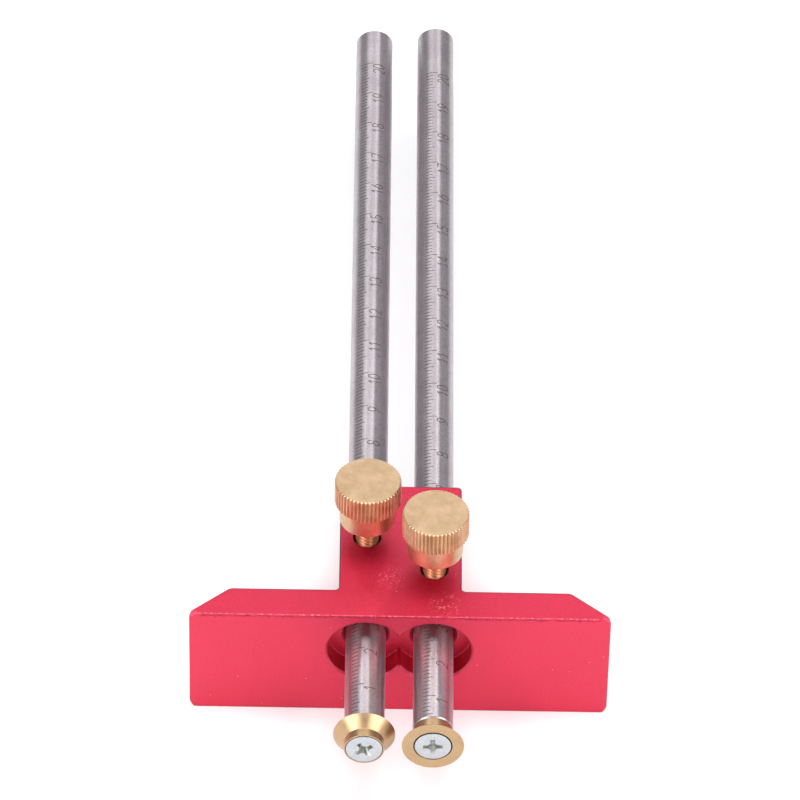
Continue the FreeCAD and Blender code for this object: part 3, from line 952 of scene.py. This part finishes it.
def build_wheel(side):
    """A cutting wheel. Its own +Z points from the flat face towards the hub."""
    low, high = WHEEL_BOXES[side]
    edge, thick = (high.x - low.x) / 2, high.y - low.y
    profile = rounded([
        (WHEEL_BORE, FLAT_SEAT - WHEEL_BORE, 0), (FLAT_SEAT, 0.0, 0.03), (edge, 0.0, 0.025),
        (WHEEL_HUB, thick - WHEEL_HUB_LENGTH, 0.12), (WHEEL_HUB, thick, 0.05),
        (HUB_SEAT, thick, 0.03), (WHEEL_BORE, thick - HUB_SEAT + WHEEL_BORE, 0),
    ], steps=3)
    profile.append(profile[0])
    points, faces = lathe(profile, 256)
    mesh = mesh_from(f"cutting_wheel_{side}", points, faces, merge=0.0005)
    # The seat faces round the screw take the dark copy of the gold: painted shade.
    for face in mesh.polygons:
        centre = face.center / MM
        if math.hypot(centre.x, centre.y) < FLAT_SEAT + 0.01 and 0.0 < centre.z < thick:
            face.material_index = 1
    shade(mesh, 25)
    flat_y, turn = (high.y, TO_MINUS_Y) if side == "left" else (low.y, TO_Y)
    add_piece(f"cutting_wheel_{side}", mesh, [GOLD, SEAT_PAINTED_SHADE], f"wheel_{side}", f"cutter_wheel_{side}",
              at=(ROD_X[side], flat_y, 0), turn=turn)


def cross_cutter():
    """A cross recess: two crossed wings that narrow as they go down, and a pointed middle."""
    top, deep = 0.5, CROSS_DEPTH
    cutters = []
    for wing in range(2):
        turn = Matrix.Rotation(math.radians(90 * wing), 3, "Z")
        points, faces = [], [(3, 2, 1, 0), (8, 9, 10, 11)]
        for height, half_span, half_width in ((top, 2.15, 0.52), (0.0, 1.95, 0.46),
                                              (-deep, 0.85, 0.30)):
            for sx, sy in ((-1, -1), (1, -1), (1, 1), (-1, 1)):
                points.append(tuple(turn @ Vector((sx * half_span, sy * half_width, height))))
        for start in (0, 4):
            for index in range(4):
                following = (index + 1) % 4
                faces.append((start + index, start + following, start + 4 + following,
                              start + 4 + index))
        cutters.append(mesh_from("wing_cutter", points, faces))
    profile = [(0, top), (1.05, top), (1.0, 0.0), (0.62, -deep), (0, -deep - 0.35)]
    points, faces = lathe(profile, 32)
    cutters.append(mesh_from("cone_cutter", points, faces))
    return cutters


def screw_body(side):
    """The screw before its recess is cut: a countersunk head, and a threaded shank."""
    low, high = SCREW_BOXES[side]
    head, length, shank = (high.x - low.x) / 2 - 0.1, high.y - low.y, SCREW_SHANK
    cone_end = -SCREW_RIM - (head - shank)
    profile = [(0.0, 0.0)] + [(2.6 * step / 6, -0.01 * (step / 6) ** 2) for step in range(1, 7)]
    profile += rounded([(2.6, -0.01, 0), (3.3, -0.05, 1.6), (head, -SCREW_CROWN, 0.09),
                        (head, -SCREW_RIM, 0.04), (shank, cone_end, 0.05),
                        (shank, cone_end - 0.2, 0)])[1:]
    start, end = cone_end - 0.25, -length + 0.35
    steps = int((start - end) / (SCREW_PITCH / 8))
    profile += [(shank, start - (start - end) * step / steps) for step in range(steps + 1)]
    profile += [(SCREW_ROOT, -length), (0.0, -length)]

    def radius_at(radius, height, angle):
        if not end - 0.01 < height < start + 0.01:
            return radius
        phase = (height / SCREW_PITCH - angle / (2 * math.pi)) % 1.0
        rise = min(1.0, (start - height) / 0.5)
        return shank - (shank - SCREW_ROOT) * rise * (1 - abs(2 * phase - 1) ** 0.9)

    points, faces = lathe(profile, 96, radius_at)
    return mesh_from(f"wheel_screw_body_{side}", points, faces)


def build_wheel_screw(side):
    """A countersunk screw. Its own +Z points out of its head's face."""
    mesh = cut_away(screw_body(side), cross_cutter())
    mesh.name = f"cross_recess_screw_{side}"
    for face in mesh.polygons:
        centre = face.center / MM
        inside = math.hypot(centre.x, centre.y) < CROSS_REACH
        if inside and -2.0 < centre.z < -0.06:
            face.material_index = 1
    shade(mesh, 32)
    spin = Matrix.Rotation(math.radians(SCREW_TURN[side]), 3, "Z")
    add_piece(f"cross_recess_screw_{side}", mesh, [ZINC, RECESS_ZINC], f"rod_{side}",
              f"wheel_screw_{side}", at=(ROD_X[side], SCREW_BOXES[side][0].y, 0),
              turn=TO_MINUS_Y @ spin)


# ---------------------------------------------------------------- thumbscrews

KNURL_TEETH = 50
KNURL_DEPTH = 0.36
POINTS_PER_TOOTH = 8
THREAD_PITCH = 0.8
THREAD_COLUMNS = 80
THREAD_MAJOR = 2.36
THREAD_MINOR = 1.95
COLLAR_RADIUS = 5.6
COLLAR_HEIGHT = 4.95
COLLAR_LOW = HEAD_HIGH.z + 5.35


def knurl_cut(angle):
    """How deep the straight knurl is at an angle: flat crests and V-shaped grooves."""
    phase = (angle / (2 * math.pi) * KNURL_TEETH) % 1.0
    return max(0.0, 1.0 - abs(phase - 0.5) / 0.38) * KNURL_DEPTH


def thumbscrew_cap(outer, top):
    """The knurled cap and the collar below it, down to where the thread starts."""
    knurl_low = COLLAR_LOW + COLLAR_HEIGHT
    cap = rounded([
        (0.0, top, 0), (outer - 0.3, top, 0.05), (outer, top - 0.26, 0.08),
        (outer, knurl_low + 0.28, 0.08), (outer - 0.3, knurl_low, 0.05),
        (COLLAR_RADIUS, knurl_low, 0.12), (COLLAR_RADIUS, COLLAR_LOW, 0.28), (3.4, COLLAR_LOW, 0),
    ], steps=3)
    profile = [(0.0, top)] + [(radius, top) for radius in (1.5, 3.0, 4.5, 5.8)] + cap[1:]

    def cap_radius(radius, height, angle):
        return min(radius, outer - knurl_cut(angle)) if height > knurl_low - 0.01 else radius

    return lathe(profile, KNURL_TEETH * POINTS_PER_TOOTH, cap_radius)


def thread_radius(height, angle, tip):
    """The helical thread's radius, which runs out under the collar and narrows at the tip."""
    phase = (height / THREAD_PITCH - angle / (2 * math.pi)) % 1.0
    crest = abs(2 * phase - 1)
    radius = THREAD_MINOR + (THREAD_MAJOR - THREAD_MINOR) * min(1.0, max(0.0, (crest - 0.12) / 0.74))
    runout = min(1.0, max(0.0, (COLLAR_LOW - 0.35 - height) / 0.5))
    radius = THREAD_MINOR + 0.05 + (radius - THREAD_MINOR - 0.05) * runout
    return min(radius, 1.75 + max(0.0, height - tip))


def add_thread(points, faces, tip):
    """Carry the collar's last ring down to the tip as a thread."""
    columns = KNURL_TEETH * POINTS_PER_TOOTH
    fine_start = len(points) - columns
    step = THREAD_PITCH / 8
    rows = int((COLLAR_LOW - tip) / step)
    heights = [COLLAR_LOW - row * step for row in range(rows + 1)] + [tip]
    starts = []
    for height in heights:
        starts.append(len(points))
        for column in range(THREAD_COLUMNS):
            angle = 2 * math.pi * column / THREAD_COLUMNS
            radius = thread_radius(height, angle, tip)
            points.append((radius * math.cos(angle), radius * math.sin(angle), height))
    ratio = columns // THREAD_COLUMNS
    for column in range(THREAD_COLUMNS):
        following = (column + 1) % THREAD_COLUMNS
        fine = [fine_start + (column * ratio + extra) % columns for extra in range(ratio + 1)]
        faces.append((*fine, starts[0] + following, starts[0] + column))
    for first, second in zip(starts, starts[1:]):
        for column in range(THREAD_COLUMNS):
            following = (column + 1) % THREAD_COLUMNS
            faces.append((first + column, first + following, second + following, second + column))
    faces.append(tuple(starts[-1] + column for column in range(THREAD_COLUMNS)))


def build_thumbscrew(side):
    """A knurled thumbscrew with a smooth collar and a real helical thread, turned about Z."""
    low, high = THUMB_BOXES[side]
    points, faces = thumbscrew_cap((high.x - low.x) / 2, high.z)
    add_thread(points, faces, low.z)
    mesh = mesh_from(f"knurled_thumbscrew_{side}", points, faces)
    # The thread faces take the darker, redder brass: painted shade and a painted red reflection.
    for face in mesh.polygons:
        if face.center.z / MM < COLLAR_LOW - 0.03:
            face.material_index = 1
    shade(mesh, 30)
    back = (low.y + high.y) / 2
    add_piece(f"knurled_thumbscrew_{side}", mesh, [BRASS, THREAD_BRASS_PAINTED_SHADE],
              f"thumbscrew_{side}", f"thumbscrew_{side}", at=(ROD_X[side], back, 0))


# ---------------------------------------------------------------- floor, light and camera

FLOOR_SIZE = 6.0
CAMERA_PLACE = (-0.00808, -0.84011, 0.85744)
CAMERA_TURN = (46.7998, -0.9237, 0.3831)
LENS = 271.1
WORLD_LEVELS = (0.20, 0.42)

# Each light's name, direction from the object, distance, size and power.
LIGHTS = (
    ("box_left", (-0.62, -0.62, 0.50), 1.3, (0.85, 0.8), 12),
    ("box_right", (0.62, -0.62, 0.50), 1.3, (0.85, 0.8), 12),
    ("overhead", (0.0, 0.05, 1.0), 1.4, (1.0, 0.5), 11),
    ("back", (0.0, 0.68, 0.73), 1.5, (1.1, 0.7), 1.6),
    ("strip_left", (-0.32, 0.70, 0.635), 1.6, (0.13, 1.2), 1.7),
    ("strip_right", (0.24, 0.70, 0.67), 1.6, (0.10, 1.2), 1.4),
)


def build_floor():
    """The level tabletop that the gauge rests on."""
    half = FLOOR_SIZE / 2
    height = HEAD_LOW.z * MM
    mesh = bpy.data.meshes.new("floor")
    mesh.from_pydata([(-half, -half, height), (half, -half, height), (half, half, height),
                      (-half, half, height)], [], [(0, 1, 2, 3)])
    mesh.materials.append(floor_material())
    floor = bpy.data.objects.new("floor", mesh)
    bpy.context.scene.collection.objects.link(floor)


def add_light(name, towards, distance, size, power):
    """A soft rectangular light in a direction from the object, facing it."""
    lamp = bpy.data.lights.new(name, "AREA")
    lamp.shape = "RECTANGLE"
    lamp.size, lamp.size_y = size
    lamp.energy = power
    light = bpy.data.objects.new(name, lamp)
    bpy.context.scene.collection.objects.link(light)
    direction = Vector(towards).normalized()
    light.location = direction * distance
    light.rotation_mode = "QUATERNION"
    light.rotation_quaternion = direction.to_track_quat("Z", "Y")
    light.visible_camera = False


def build_lights():
    """Two large boxes in front, one overhead, a panel and two strips behind, and a soft world."""
    for light in LIGHTS:
        add_light(*light)
    world = bpy.data.worlds.new("studio")
    world.use_nodes = True
    tree = world.node_tree
    split = tree.nodes.new("ShaderNodeSeparateXYZ")
    ramp = tree.nodes.new("ShaderNodeValToRGB")
    for element, level in zip(ramp.color_ramp.elements, WORLD_LEVELS):
        element.color = (0.97 * level, 0.97 * level, level, 1.0)
    ramp.color_ramp.elements[1].position = 0.5
    coordinates = tree.nodes.new("ShaderNodeTexCoord")
    tree.links.new(coordinates.outputs["Generated"], split.inputs["Vector"])
    tree.links.new(split.outputs["Z"], ramp.inputs["Fac"])
    tree.links.new(ramp.outputs["Color"], tree.nodes["Background"].inputs["Color"])
    bpy.context.scene.world = world


def build_camera():
    """A long lens that looks down at the fence from the cutting wheels' end."""
    data = bpy.data.cameras.new("camera")
    data.lens = LENS
    data.sensor_width = 36.0
    data.clip_start, data.clip_end = 0.05, 20.0
    camera = bpy.data.objects.new("camera", data)
    bpy.context.scene.collection.objects.link(camera)
    camera.location = CAMERA_PLACE
    camera.rotation_euler = [math.radians(angle) for angle in CAMERA_TURN]
    bpy.context.scene.camera = camera


bpy.context.scene.view_settings.view_transform = "Standard"

build_head()
for side in ("left", "right"):
    build_rod(side)
    build_wheel(side)
    build_wheel_screw(side)
    build_thumbscrew(side)
build_floor()
build_lights()
build_camera()
